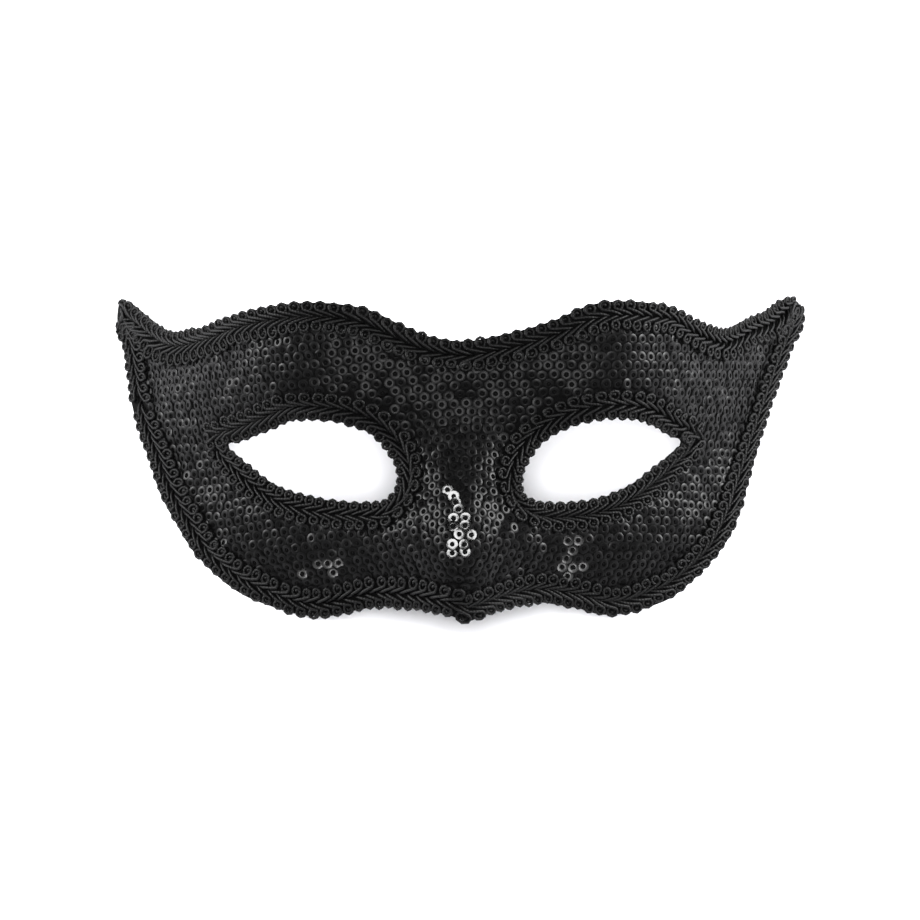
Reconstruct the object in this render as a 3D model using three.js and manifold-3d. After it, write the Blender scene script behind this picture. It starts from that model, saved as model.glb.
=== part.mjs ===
// Party eye mask: a curved half mask with two eye holes, edged with scroll braid.
// Millimetres, +Z up. It lies on its side rims, face up, with the nose towards -Y.
//
// Places on the mask are given on its face: across (to the right), up (to the forehead)
// and out (away from the wearer). The function atRest turns them to the lying mask.
import * as THREE from 'three';
import { mergeVertices } from 'three/addons/utils/BufferGeometryUtils.js';
import Module from 'manifold-3d';

// Outline of the face
const halfWidth = 90.6;
const halfHeight = 42.6;

// Shell
const wall = 1.5;
const restDepth = 47;
const restLean = 36;
const rimFlat = 0.6;
const flatAbove = 25;
const flatBelow = 12;
const bendTop = 22;
const bendBottom = -16;
const wrapEnd = 72;
const cheekLevel = -22;

// Nose, brow, cheeks and eye sockets
const noseOut = 24;
const noseSpread = 17.5;
const bridgeSpread = 10;
const noseRound = 4;
const noseTop = 18;
const noseFull = -26;
const browLevel = 10;
const browTuck = 3.8;
const cheekTuckLevel = -10;
const cheekTuck = 7.2;
const socketDepth = 4.5;
const socketAcross = 24;
const socketUp = 13;

// Eyes: place, half length and half height of a middling one
const eyeMiddle = 38.3;
const eyeHalfLength = 22.2;
const eyeHalfHeight = 11.0;

// Braid
const braidWidth = 8.4;
const eyeBraidWidth = 7.8;
const braidHeight = 1.1;
const loopPitch = 3.2;
const scallop = 0.5;
const braidGap = 0.5;
const braidOverhang = 0.7;
const eyeOverhang = 1.0;
const floorClearance = 0.5;
const seamLevel = 13.5;
const seamGap = 0.4;
const liftLeft = 26;
const liftRight = 9;
const steepNormal = 0.55;
const levelNormal = 0.95;
const tipShare = 0.42;
const tipLength = 11;
const tipTuck = 13;

// Mesh steps
const topStep = 6.6;
const lowerStep = 4.7;
const middleStep = 5.5;
const shellRings = 8;
const ringCrowding = 1.25;
const topPoints = 400;
const lowerPoints = 600;
const eyePoints = 240;
const rayReach = 6;

// Outline, as shares of halfWidth and halfHeight: the top edge, left tip to right tip
const topEdge = [
  { across: -1.007, up: 0.982 },
  { across: -0.971, up: 0.993 },
  { across: -0.897, up: 0.873 },
  { across: -0.861, up: 0.823 },
  { across: -0.813, up: 0.800 },
  { across: -0.734, up: 0.827 },
  { across: -0.647, up: 0.893 },
  { across: -0.568, up: 0.936 },
  { across: -0.469, up: 0.966 },
  { across: -0.366, up: 0.964 },
  { across: -0.262, up: 0.925 },
  { across: -0.160, up: 0.825 },
  { across: -0.086, up: 0.762 },
  { across: 0.013, up: 0.734 },
  { across: 0.116, up: 0.770 },
  { across: 0.202, up: 0.815 },
  { across: 0.287, up: 0.876 },
  { across: 0.344, up: 0.933 },
  { across: 0.403, up: 0.969 },
  { across: 0.461, up: 0.978 },
  { across: 0.542, up: 0.969 },
  { across: 0.612, up: 0.938 },
  { across: 0.676, up: 0.865 },
  { across: 0.762, up: 0.818 },
  { across: 0.840, up: 0.889 },
  { across: 0.889, up: 0.936 },
  { across: 0.925, up: 0.991 },
  { across: 0.964, up: 1.018 },
  { across: 1.005, up: 0.977 },
];

// The rest of the outline, from the right tip round the nose to the left tip
const lowerEdge = [
  { across: 1.005, up: 0.977 },
  { across: 1.010, up: 0.860 },
  { across: 0.971, up: 0.670 },
  { across: 0.935, up: 0.468 },
  { across: 0.904, up: 0.288 },
  { across: 0.856, up: -0.051 },
  { across: 0.834, up: -0.218 },
  { across: 0.816, up: -0.343 },
  { across: 0.786, up: -0.482 },
  { across: 0.741, up: -0.620 },
  { across: 0.675, up: -0.759 },
  { across: 0.600, up: -0.875 },
  { across: 0.520, up: -0.928 },
  { across: 0.403, up: -0.951 },
  { across: 0.344, up: -0.916 },
  { across: 0.288, up: -0.894 },
  { across: 0.219, up: -0.875 },
  { across: 0.099, up: -0.923 },
  { across: 0.053, up: -0.962 },
  { across: 0.016, up: -0.985 },
  { across: -0.022, up: -0.953 },
  { across: -0.086, up: -0.923 },
  { across: -0.159, up: -0.904 },
  { across: -0.239, up: -0.902 },
  { across: -0.306, up: -0.930 },
  { across: -0.371, up: -0.959 },
  { across: -0.444, up: -0.957 },
  { across: -0.529, up: -0.915 },
  { across: -0.609, up: -0.865 },
  { across: -0.694, up: -0.750 },
  { across: -0.772, up: -0.590 },
  { across: -0.830, up: -0.397 },
  { across: -0.878, up: -0.213 },
  { across: -0.912, up: 0.005 },
  { across: -0.941, up: 0.172 },
  { across: -0.966, up: 0.366 },
  { across: -0.978, up: 0.560 },
  { across: -0.997, up: 0.742 },
  { across: -1.011, up: 0.874 },
  { across: -1.007, up: 0.982 },
];

// Eye holes as seen between the loops, as shares of the eye's half length and half height,
// measured towards the nose and up, from the outer corner over the top
const leftEyeEdge = [
  { inward: -0.95, up: 0.34 },
  { inward: -0.82, up: 0.40 },
  { inward: -0.46, up: 0.69 },
  { inward: -0.17, up: 0.93 },
  { inward: 0.12, up: 0.93 },
  { inward: 0.40, up: 0.84 },
  { inward: 0.67, up: 0.60 },
  { inward: 0.88, up: 0.18 },
  { inward: 0.99, up: -0.38 },
  { inward: 0.97, up: -0.72 },
  { inward: 0.83, up: -0.97 },
  { inward: 0.52, up: -0.99 },
  { inward: 0.10, up: -0.89 },
  { inward: -0.27, up: -0.68 },
  { inward: -0.56, up: -0.34 },
  { inward: -0.82, up: 0.10 },
];

const rightEyeEdge = [
  { inward: -0.95, up: 0.34 },
  { inward: -0.83, up: 0.45 },
  { inward: -0.49, up: 0.85 },
  { inward: -0.17, up: 0.97 },
  { inward: 0.12, up: 0.94 },
  { inward: 0.40, up: 0.81 },
  { inward: 0.66, up: 0.57 },
  { inward: 0.88, up: 0.17 },
  { inward: 1.01, up: -0.38 },
  { inward: 0.99, up: -0.76 },
  { inward: 0.82, up: -0.93 },
  { inward: 0.52, up: -0.97 },
  { inward: 0.10, up: -0.88 },
  { inward: -0.26, up: -0.61 },
  { inward: -0.54, up: -0.28 },
  { inward: -0.82, up: 0.12 },
];

// The two eyes: place and half length as shares of the sizes above, and turn in degrees
const eyes = [
  { name: 'left', side: -1, middle: 1.016, halfLength: 1.032, turn: 0, edge: leftEyeEdge },
  { name: 'right', side: 1, middle: 0.984, halfLength: 0.964, turn: 2.5, edge: rightEyeEdge },
];

// Section of the braid: place across it from its outer edge, and height over the shell
const braidSection = [
  { place: 0.00, high: 0.45 },
  { place: 0.26, high: 1.00 },
  { place: 0.50, high: 0.60 },
  { place: 0.74, high: 1.00 },
  { place: 1.00, high: 0.45 },
  { place: 0.94, high: 0.00 },
  { place: 0.06, high: 0.00 },
];

const degree = Math.PI / 180;
const wasm = await Module();
wasm.setup();

function smooth(value, from, to) {
  const share = Math.min(Math.max((value - from) / (to - from), 0), 1);
  return share * share * (3 - 2 * share);
}

// A smooth curve through a table of shares, as a fine polyline in the plane of the face
function polyline(rows, place, closed, count) {
  const points = rows.map((row) => place(row));
  const curve = new THREE.CatmullRomCurve3(points, closed, 'centripetal');
  return curve.getSpacedPoints(count);
}

const onFace = (row) => new THREE.Vector3(row.across * halfWidth, row.up * halfHeight, 0);
const topLine = polyline(topEdge, onFace, false, topPoints);
const lowerLine = polyline(lowerEdge, onFace, false, lowerPoints);

function eyeLine(eye) {
  const cos = Math.cos(eye.turn * degree);
  const sin = Math.sin(eye.turn * degree);
  const place = (row) => {
    const outward = -row.inward * eye.halfLength * eyeHalfLength;
    const up = row.up * eyeHalfHeight;
    const across = eye.middle * eyeMiddle + outward * cos - up * sin;
    return new THREE.Vector3(eye.side * across, outward * sin + up * cos, 0);
  };
  const line = polyline(eye.edge, place, true, eyePoints).slice(0, -1);
  return eye.side > 0 ? line : line.reverse();
}

// Where the side rim lies at a level, on one side, between its tip and the cheek
function rimAcross(side, up) {
  let best = halfWidth;
  let nearest = Infinity;
  for (const point of lowerLine) {
    if (point.x * side > halfWidth / 2 && Math.abs(point.y - up) < nearest) {
      nearest = Math.abs(point.y - up);
      best = point.x * side;
    }
  }
  return best;
}

function bend(across, up) {
  const flat = flatBelow + (flatAbove - flatBelow) * smooth(up, bendBottom, bendTop);
  const length = wrapEnd - flat;
  const share = Math.min(Math.max((across - flat) / length, 0), 1);
  return length * (share ** 3 - share ** 4 / 2) + Math.max(across - wrapEnd, 0);
}

function features(across, up) {
  const full = smooth(-up, -noseTop, -noseFull);
  const spread = bridgeSpread + (noseSpread - bridgeSpread) * full;
  const ridge = Math.exp(-((across ** 2 + noseRound ** 2) ** 0.75) / spread ** 1.5);
  const brow = browTuck * (Math.max(up - browLevel, 0) / (halfHeight - browLevel)) ** 2;
  const below = Math.max(cheekTuckLevel - up, 0) / (cheekTuckLevel + halfHeight);
  const fromEye = ((Math.abs(across) - eyeMiddle) / socketAcross) ** 2 + (up / socketUp) ** 2;
  return noseOut * full * ridge - brow - cheekTuck * below ** 2 - socketDepth * Math.exp(-fromEye);
}

// How steeply each side falls back, so that its rim meets the table all along.
// One value for each level, worked out once.
const levelStep = 0.5;
const levels = Math.ceil((2 * halfHeight) / levelStep) + 1;
function sideSteepness(side) {
  return Array.from({ length: levels }, (unused, index) => {
    const level = Math.max(index * levelStep - halfHeight, cheekLevel);
    const rim = rimAcross(side, level);
    const depth = restDepth + Math.tan(restLean * degree) * level;
    return (depth + features(rim, level)) / bend(rim, level);
  });
}
const steepness = { left: sideSteepness(-1), right: sideSteepness(1) };

function faceOut(across, up) {
  const values = across < 0 ? steepness.left : steepness.right;
  const index = Math.min(Math.max((up + halfHeight) / levelStep, 0), levels - 1.001);
  const below = Math.floor(index);
  const steep = values[below] + (values[below + 1] - values[below]) * (index - below);
  return features(across, up) - steep * bend(Math.abs(across), up);
}

// Point of the shell's front, moved out along the surface's own normal
const slopeStep = 0.25;
function faceNormal(across, up) {
  const slopeX = faceOut(across + slopeStep, up) - faceOut(across - slopeStep, up);
  const slopeY = faceOut(across, up + slopeStep) - faceOut(across, up - slopeStep);
  return new THREE.Vector3(-slopeX, -slopeY, 2 * slopeStep).normalize();
}

function facePoint(across, up, raise) {
  const point = new THREE.Vector3(across, up, faceOut(across, up));
  return point.addScaledVector(faceNormal(across, up), raise);
}

// Turns a point of the face to the mask lying on its side rims
const floorDrop = restDepth * Math.cos(restLean * degree) - rimFlat;
function atRest(point) {
  const cos = Math.cos(restLean * degree);
  const sin = Math.sin(restLean * degree);
  return new THREE.Vector3(
    point.x,
    cos * point.y - sin * point.z,
    sin * point.y + cos * point.z + floorDrop
  );
}

// Goes a length along the shell's front from a place on the face, in one direction
function slide(start, direction, length) {
  const parts = 6;
  const place = start.clone();
  for (let part = 0; part < parts; part += 1) {
    const here = faceOut(place.x, place.y);
    const ahead = faceOut(place.x + direction.x * slopeStep, place.y + direction.y * slopeStep);
    const slope = (ahead - here) / slopeStep;
    place.addScaledVector(direction, length / parts / Math.sqrt(1 + slope * slope));
  }
  return place;
}

// Unit vectors in the plane of the face, square to a polyline and to its left
function sideways(line, closed) {
  const last = line.length - 1;
  return line.map((point, index) => {
    const before = line[index > 0 ? index - 1 : (closed ? last : 0)];
    const after = line[index < last ? index + 1 : (closed ? 0 : last)];
    return new THREE.Vector3(before.y - after.y, after.x - before.x, 0).normalize();
  });
}

function offset(line, distance, closed) {
  const normals = sideways(line, closed);
  return line.map((point, index) => point.clone().addScaledVector(normals[index], distance));
}

function geometryOf(points, faces) {
  const geometry = new THREE.BufferGeometry();
  const flat = points.flatMap((point) => [point.x, point.y, point.z]);
  geometry.setAttribute('position', new THREE.Float32BufferAttribute(flat, 3));
  geometry.setIndex(faces.flat());
  return geometry;
}

function toManifold(geometry) {
  const bare = new THREE.BufferGeometry();
  bare.setAttribute('position', geometry.getAttribute('position').clone());
  bare.setIndex(geometry.getIndex());
  const merged = mergeVertices(bare, 0.0005);
  const mesh = new wasm.Mesh({
    numProp: 3,
    vertProperties: new Float32Array(merged.getAttribute('position').array),
    triVerts: new Uint32Array(merged.getIndex().array),
  });
  return new wasm.Manifold(mesh);
}

function fromManifold(solid) {
  const mesh = solid.getMesh();
  const geometry = new THREE.BufferGeometry();
  geometry.setAttribute('position', new THREE.BufferAttribute(mesh.vertProperties, 3));
  geometry.setIndex(new THREE.BufferAttribute(mesh.triVerts, 1));
  return geometry;
}

// Points at even steps along a polyline, with both of its ends
function evenly(line, step) {
  const lengths = [0];
  for (let index = 1; index < line.length; index += 1) {
    lengths.push(lengths[index - 1] + line[index].distanceTo(line[index - 1]));
  }
  const total = lengths[lengths.length - 1];
  const count = Math.max(Math.round(total / step), 2);
  const found = [];
  let index = 1;
  for (let part = 0; part <= count; part += 1) {
    const wanted = (total * part) / count;
    while (index < line.length - 1 && lengths[index] < wanted) {
      index += 1;
    }
    const share = (wanted - lengths[index - 1]) / (lengths[index] - lengths[index - 1]);
    found.push(line[index - 1].clone().lerp(line[index], share));
  }
  return found;
}

// First place where a ray in the plane of the face meets a closed polyline
function rayHit(from, through, line) {
  const ray = through.clone().sub(from);
  let nearest = Infinity;
  for (let index = 0; index < line.length; index += 1) {
    const start = line[index].clone().sub(from);
    const edge = line[(index + 1) % line.length].clone().sub(line[index]);
    const cross = ray.x * edge.y - ray.y * edge.x;
    if (Math.abs(cross) > 1e-9) {
      const alongRay = (start.x * edge.y - start.y * edge.x) / cross;
      const alongEdge = (start.x * ray.y - start.y * ray.x) / cross;
      if (alongRay > 0 && alongRay < nearest && alongEdge >= 0 && alongEdge <= 1) {
        nearest = alongRay;
      }
    }
  }
  return from.clone().addScaledVector(ray, nearest);
}

// Where a polyline crosses the middle of the face
function atMiddle(line) {
  const index = line.findIndex((point, place) => place > 0 && point.x * line[place - 1].x <= 0);
  const before = line[index - 1];
  const after = line[index];
  const share = before.x / (before.x - after.x);
  return { index, point: new THREE.Vector3(0, before.y + (after.y - before.y) * share, 0) };
}

// Edge of an eye hole in the shell: outside the braid's loops, and clear of the wall's
// own thickness where the surface falls away from the eye
function holeLine(eye) {
  const seen = eyeLine(eye);
  const outward = sideways(seen, true).map((normal) => normal.negate());
  return seen.map((point, index) => {
    const away = faceNormal(point.x, point.y).dot(outward[index]);
    return slide(point, outward[index], eyeOverhang + wall * Math.max(away, 0));
  });
}

// Places in the directions of a ring of points, with crowded directions spread out
function spreadDirections(ring, centre) {
  const count = ring.length;
  const angles = [];
  for (const point of ring) {
    let angle = Math.atan2(point.y - centre.y, point.x - centre.x);
    const before = angles.length > 0 ? angles[angles.length - 1] : angle;
    while (angle < before - Math.PI) {
      angle += 2 * Math.PI;
    }
    angles.push(angle);
  }
  return ring.map((unused, index) => {
    let sum = 0;
    for (let shift = -rayReach; shift <= rayReach; shift += 1) {
      const place = index + shift;
      sum += angles[(place + count) % count] + 2 * Math.PI * Math.floor(place / count);
    }
    const mean = sum / (2 * rayReach + 1);
    return new THREE.Vector3(centre.x + Math.cos(mean), centre.y + Math.sin(mean), 0);
  });
}

// Shell: each half is a fan of rays from its eye hole to the rim and the middle line
function makeShell() {
  const top = offset(topLine, -braidOverhang, false);
  const lower = offset(lowerLine, -braidOverhang, false);
  top[0].lerp(lower[lower.length - 1], 0.5);
  top[top.length - 1].lerp(lower[0], 0.5);
  const topMiddle = atMiddle(top);
  const lowerMiddle = atMiddle(lower);
  const middleLine = evenly([lowerMiddle.point, topMiddle.point], middleStep);
  const topLeft = [...top.slice(0, topMiddle.index), topMiddle.point].reverse();
  const topRight = [topMiddle.point, ...top.slice(topMiddle.index)].reverse();
  const lowerRight = [...lower.slice(1, lowerMiddle.index), lowerMiddle.point].reverse();
  const lowerLeft = [lowerMiddle.point, ...lower.slice(lowerMiddle.index, -1)].reverse();
  lowerRight.push(topRight[0]);
  lowerLeft.unshift(topLeft[topLeft.length - 1]);
  const rims = {
    left: [evenly(topLeft, topStep), evenly(lowerLeft, lowerStep), middleLine],
    right: [evenly(lowerRight, lowerStep), evenly(topRight, topStep), middleLine.slice().reverse()],
  };
  const points = [];
  const faces = [];
  for (const eye of eyes) {
    const parts = rims[eye.name];
    const outer = parts.flatMap((part) => part.slice(0, -1));
    const rimCount = outer.length - parts[2].length + 1;
    const hole = holeLine(eye);
    const centre = new THREE.Vector3(eye.side * eye.middle * eyeMiddle, 0, 0);
    const corner = hole.reduce((best, point) => (point.x * eye.side > best.x * eye.side ? point : best));
    const inner = spreadDirections(outer, centre).map((through) => rayHit(centre, through, hole));
    const nearCorner = inner.reduce(
      (best, point, index) => (point.distanceTo(corner) < inner[best].distanceTo(corner) ? index : best),
      0
    );
    inner[nearCorner] = corner;
    const first = points.length;
    const stations = outer.length;
    for (let ring = 0; ring <= shellRings; ring += 1) {
      for (let station = 0; station < stations; station += 1) {
        const share = 1 - (1 - ring / shellRings) ** ringCrowding;
        const place = inner[station].clone().lerp(outer[station], share);
        points.push(atRest(facePoint(place.x, place.y, 0)));
        points.push(atRest(facePoint(place.x, place.y, -wall)));
      }
    }
    const front = (ring, station) => first + 2 * (ring * stations + (station % stations));
    const back = (ring, station) => front(ring, station) + 1;
    for (let station = 0; station < stations; station += 1) {
      const next = station + 1;
      for (let ring = 0; ring < shellRings; ring += 1) {
        const beyond = ring + 1;
        faces.push([front(ring, station), front(beyond, station), front(beyond, next)]);
        faces.push([front(ring, station), front(beyond, next), front(ring, next)]);
        faces.push([back(ring, station), back(beyond, next), back(beyond, station)]);
        faces.push([back(ring, station), back(ring, next), back(beyond, next)]);
      }
      faces.push([front(0, station), back(0, next), back(0, station)]);
      faces.push([front(0, station), front(0, next), back(0, next)]);
      if (station < rimCount) {
        const last = shellRings;
        faces.push([front(last, station), back(last, station), back(last, next)]);
        faces.push([front(last, station), back(last, next), front(last, next)]);
      }
    }
  }
  const sheet = toManifold(geometryOf(points, faces));
  const table = new THREE.BoxGeometry(4 * halfWidth, 8 * halfHeight, 4 * restDepth);
  table.translate(0, 0, -2 * restDepth);
  return fromManifold(sheet.subtract(toManifold(table)));
}

// A closed solid through a row of sections with as many points each
function loft(sections, closed) {
  const count = sections[0].length;
  const points = sections.flat();
  const faces = [];
  const lastSection = closed ? sections.length : sections.length - 1;
  for (let section = 0; section < lastSection; section += 1) {
    const here = section * count;
    const ahead = ((section + 1) % sections.length) * count;
    for (let corner = 0; corner < count; corner += 1) {
      const next = (corner + 1) % count;
      faces.push([here + corner, ahead + corner, ahead + next]);
      faces.push([here + corner, ahead + next, here + next]);
    }
  }
  if (!closed) {
    const end = (sections.length - 1) * count;
    for (let corner = 1; corner < count - 1; corner += 1) {
      faces.push([0, corner, corner + 1]);
      faces.push([end, end + corner + 1, end + corner]);
    }
  }
  const volume = faces.reduce((sum, [a, b, c]) => {
    const cross = points[b].clone().cross(points[c]);
    return sum + points[a].dot(cross);
  }, 0);
  const outward = volume > 0 ? faces : faces.map(([a, b, c]) => [a, c, b]);
  return geometryOf(points, outward);
}

// Even steps along the surface itself, given places on the face
function stepsOnSurface(line, step) {
  const raised = line.map((place) => facePoint(place.x, place.y, 0));
  const lengths = [0];
  for (let index = 1; index < raised.length; index += 1) {
    lengths.push(lengths[index - 1] + raised[index].distanceTo(raised[index - 1]));
  }
  const total = lengths[lengths.length - 1];
  const count = 2 * Math.round(total / step / 2);
  const shares = [];
  let index = 1;
  for (let part = 0; part <= count; part += 1) {
    const wanted = (total * part) / count;
    while (index < line.length - 1 && lengths[index] < wanted) {
      index += 1;
    }
    const share = (wanted - lengths[index - 1]) / (lengths[index] - lengths[index - 1]);
    shares.push({ index: index - 1, share });
  }
  return shares;
}

// Braid along an edge. Each station has its outer place on the face, the direction
// across the braid, its width there and how far its inner half is turned up.
function makeBraid(stations, closed) {
  const spine = stations.map((station) => slide(station.outer, station.inward, station.width / 2));
  const steps = stepsOnSurface(closed ? [...spine, spine[0]] : spine, loopPitch / 2);
  if (closed) {
    steps.pop();
  }
  const sections = steps.map(({ index, share }, number) => {
    const here = stations[index];
    const next = stations[(index + 1) % stations.length];
    const outer = here.outer.clone().lerp(next.outer, share);
    const inward = here.inward.clone().lerp(next.inward, share).normalize();
    const width = here.width + (next.width - here.width) * share;
    const lift = (here.lift + (next.lift - here.lift) * share) * degree;
    const narrowing = number % 2 === 0 ? 0 : scallop / width;
    const middle = slide(outer, inward, width / 2);
    const pivot = facePoint(middle.x, middle.y, braidGap);
    const direction = new THREE.Vector3(inward.y, -inward.x, 0);
    const ahead = facePoint(middle.x + direction.x, middle.y + direction.y, braidGap);
    const axis = ahead.sub(pivot).normalize();
    return braidSection.map((corner) => {
      const place = 0.5 + (corner.place - 0.5) * (1 - 2 * narrowing);
      const foot = slide(outer, inward, place * width);
      const point = facePoint(foot.x, foot.y, braidGap + corner.high * braidHeight);
      if (corner.place > 0.5) {
        point.sub(pivot).applyAxisAngle(axis, lift).add(pivot);
      }
      return atRest(point);
    });
  });
  return loft(sections, closed);
}

// Places along an edge. Where the rim comes down to the table, the braid keeps off it.
function edgeStations(line, turnLift) {
  const normals = sideways(line, false);
  return line.map((point, index) => {
    const inward = normals[index].clone().negate();
    const height = atRest(facePoint(point.x, point.y, 0)).z;
    const nearTable = 1 - smooth(height, 0, braidWidth / 2);
    const held = (floorClearance + rimFlat) / Math.cos(restLean * degree);
    const outer = slide(point, inward, (held + braidOverhang) * nearTable);
    const steep = 1 - smooth(faceNormal(point.x, point.y).z, steepNormal, levelNormal);
    return { outer, inward, width: braidWidth, lift: turnLift(point) * steep };
  });
}

// The top strip narrows towards both tips, where it is tucked round the edge
function topStations() {
  const tips = [topLine[0], topLine[topLine.length - 1]];
  return edgeStations(topLine.slice(2, -2), () => 0).map((station) => {
    const away = Math.min(...tips.map((tip) => tip.distanceTo(station.outer)));
    const share = tipShare + (1 - tipShare) * smooth(away, 0, tipLength);
    return { ...station, width: station.width * share };
  });
}

const material = (color, roughness) =>
  new THREE.MeshStandardMaterial({ color, roughness, metalness: 0 });

const mask = new THREE.Group();

function addPiece(name, geometry, color, roughness) {
  const mesh = new THREE.Mesh(geometry, material(color, roughness));
  mesh.name = name;
  mask.add(mesh);
}

addPiece('mask_shell', makeShell(), 0x1b1b1d, 0.6);

addPiece('edge_braid_top', makeBraid(topStations(), false), 0x141416, 0.75);

const turnLift = (point) => (point.x < 0 ? liftLeft : liftRight);
const lowerStations = edgeStations(lowerLine, turnLift);
const rightTip = lowerLine[0];
const leftTip = lowerLine[lowerLine.length - 1];
const seamAt = lowerLine.findIndex((point) => point.x < -halfWidth / 2 && point.y > seamLevel);
const seamEnd = lowerLine.findIndex((point, index) => index > seamAt && point.y > seamLevel + seamGap);
const afterRightTip = lowerLine.findIndex((point) => point.distanceTo(rightTip) > tipTuck);
const beforeLeftTip = lowerLine.findIndex(
  (point, index) => index > seamEnd && point.distanceTo(leftTip) < tipTuck
);
addPiece('edge_braid_lower', makeBraid(lowerStations.slice(afterRightTip, seamAt), false), 0x141416, 0.75);
addPiece('edge_braid_left', makeBraid(lowerStations.slice(seamEnd, beforeLeftTip), false), 0x141416, 0.75);

for (const eye of eyes) {
  const line = eyeLine(eye);
  const outward = sideways(line, true).map((normal) => normal.negate());
  const stations = line.map((point, index) => {
    const outer = slide(point, outward[index], eyeBraidWidth);
    return { outer, inward: outward[index].clone().negate(), width: eyeBraidWidth, lift: 0 };
  });
  addPiece(eye.name + '_eye_braid', makeBraid(stations, true), 0x141416, 0.75);
}

// The origin is under the middle of the mask, on the table
const box = new THREE.Box3().setFromObject(mask);
const middle = box.getCenter(new THREE.Vector3());
mask.position.set(-middle.x, -middle.y, 0);

export default mask;
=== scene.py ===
import math

import bpy
import numpy as np
from mathutils import Matrix, Vector


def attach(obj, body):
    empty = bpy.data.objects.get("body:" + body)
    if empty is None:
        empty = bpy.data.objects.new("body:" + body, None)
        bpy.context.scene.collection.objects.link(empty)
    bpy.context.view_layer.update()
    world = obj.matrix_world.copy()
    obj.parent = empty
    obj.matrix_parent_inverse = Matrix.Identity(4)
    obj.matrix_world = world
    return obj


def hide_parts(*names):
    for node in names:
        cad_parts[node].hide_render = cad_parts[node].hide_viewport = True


# A black party eye mask: a curved cloth half mask, covered in sequins and edged with
# scroll braid. Places are worked out on its face in millimetres: across to the right,
# up to the brow, out to the front. toRest lays the face down as the part lies.

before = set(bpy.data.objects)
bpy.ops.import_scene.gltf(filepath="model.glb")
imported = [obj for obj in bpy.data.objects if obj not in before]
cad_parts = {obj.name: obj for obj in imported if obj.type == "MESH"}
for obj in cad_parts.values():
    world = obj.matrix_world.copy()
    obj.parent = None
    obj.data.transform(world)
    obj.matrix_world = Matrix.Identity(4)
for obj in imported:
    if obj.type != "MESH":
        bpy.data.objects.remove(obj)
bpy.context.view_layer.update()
chance = np.random.default_rng(11)
metre = 0.001
probe = 0.25                        # millimetres, the step that slopes are measured over
lineSteps = {'top': 400, 'lower': 600, 'eye': 240}      # points along each edge

face = {                            # the shape that the part is built on
    'halfWidth': 90.6,
    'halfHeight': 42.6,
    'restDepth': 47.0,              # how far the side rims lie behind the face
    'restLean': 36.0,               # degrees
    'rimFlat': 0.6,
    'shift': (0.129, -17.779),      # from the face's middle to the part's own origin
    'flatAbove': 25.0,              # half width of the flat part at the brow
    'flatBelow': 12.0,              # and below the eyes
    'bendTop': 22.0,                # the flat part narrows between these levels
    'bendBottom': -16.0,
    'wrapEnd': 72.0,                # where the sides stop bending
    'cheekLevel': -22.0,            # the sides keep their steepness below this
    'noseOut': 24.0,
    'noseSpread': 17.5,
    'bridgeSpread': 10.0,
    'noseRound': 4.0,
    'noseTop': 18.0,                # the nose starts here and is full at the next level
    'noseFull': -26.0,
    'browLevel': 10.0,
    'browTuck': 3.8,                # how far the brow's edge is tucked back
    'cheekTuckLevel': -10.0,
    'cheekTuck': 7.2,
    'socketDepth': 4.5,
    'socketAcross': 24.0,
    'socketUp': 13.0,
    'eyeMiddle': 38.3,
    'eyeHalfLength': 22.2,
    'eyeHalfHeight': 11.0,
}

# outline as shares of half width and half height: the top edge, left tip to right tip
topEdge = [
    (-1.007, 0.982), (-0.971, 0.993), (-0.897, 0.873), (-0.861, 0.823), (-0.813, 0.800),
    (-0.734, 0.827), (-0.647, 0.893), (-0.568, 0.936), (-0.469, 0.966), (-0.366, 0.964),
    (-0.262, 0.925), (-0.160, 0.825), (-0.086, 0.762), (0.013, 0.734), (0.116, 0.770),
    (0.202, 0.815), (0.287, 0.876), (0.344, 0.933), (0.403, 0.969), (0.461, 0.978),
    (0.542, 0.969), (0.612, 0.938), (0.676, 0.865), (0.762, 0.818), (0.840, 0.889),
    (0.889, 0.936), (0.925, 0.991), (0.964, 1.018), (1.005, 0.977),
]

# and from the right tip round the nose to the left tip
lowerEdge = [
    (1.005, 0.977), (1.010, 0.860), (0.971, 0.670), (0.935, 0.468), (0.904, 0.288),
    (0.856, -0.051), (0.834, -0.218), (0.816, -0.343), (0.786, -0.482), (0.741, -0.620),
    (0.675, -0.759), (0.600, -0.875), (0.520, -0.928), (0.403, -0.951), (0.344, -0.916),
    (0.288, -0.894), (0.219, -0.875), (0.099, -0.923), (0.053, -0.962), (0.016, -0.985),
    (-0.022, -0.953), (-0.086, -0.923), (-0.159, -0.904), (-0.239, -0.902),
    (-0.306, -0.930), (-0.371, -0.959), (-0.444, -0.957), (-0.529, -0.915),
    (-0.609, -0.865), (-0.694, -0.750), (-0.772, -0.590), (-0.830, -0.397),
    (-0.878, -0.213), (-0.912, 0.005), (-0.941, 0.172), (-0.966, 0.366), (-0.978, 0.560),
    (-0.997, 0.742), (-1.011, 0.874), (-1.007, 0.982),
]

# eye holes as shares of half length and half height, towards the nose and up
leftEyeEdge = [
    (-0.95, 0.34), (-0.82, 0.40), (-0.46, 0.69), (-0.17, 0.93), (0.12, 0.93), (0.40, 0.84),
    (0.67, 0.60), (0.88, 0.18), (0.99, -0.38), (0.97, -0.72), (0.83, -0.97), (0.52, -0.99),
    (0.10, -0.89), (-0.27, -0.68), (-0.56, -0.34), (-0.82, 0.10),
]

rightEyeEdge = [
    (-0.95, 0.34), (-0.83, 0.45), (-0.49, 0.85), (-0.17, 0.97), (0.12, 0.94), (0.40, 0.81),
    (0.66, 0.57), (0.88, 0.17), (1.01, -0.38), (0.99, -0.76), (0.82, -0.93), (0.52, -0.97),
    (0.10, -0.88), (-0.26, -0.61), (-0.54, -0.28), (-0.82, 0.12),
]

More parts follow.
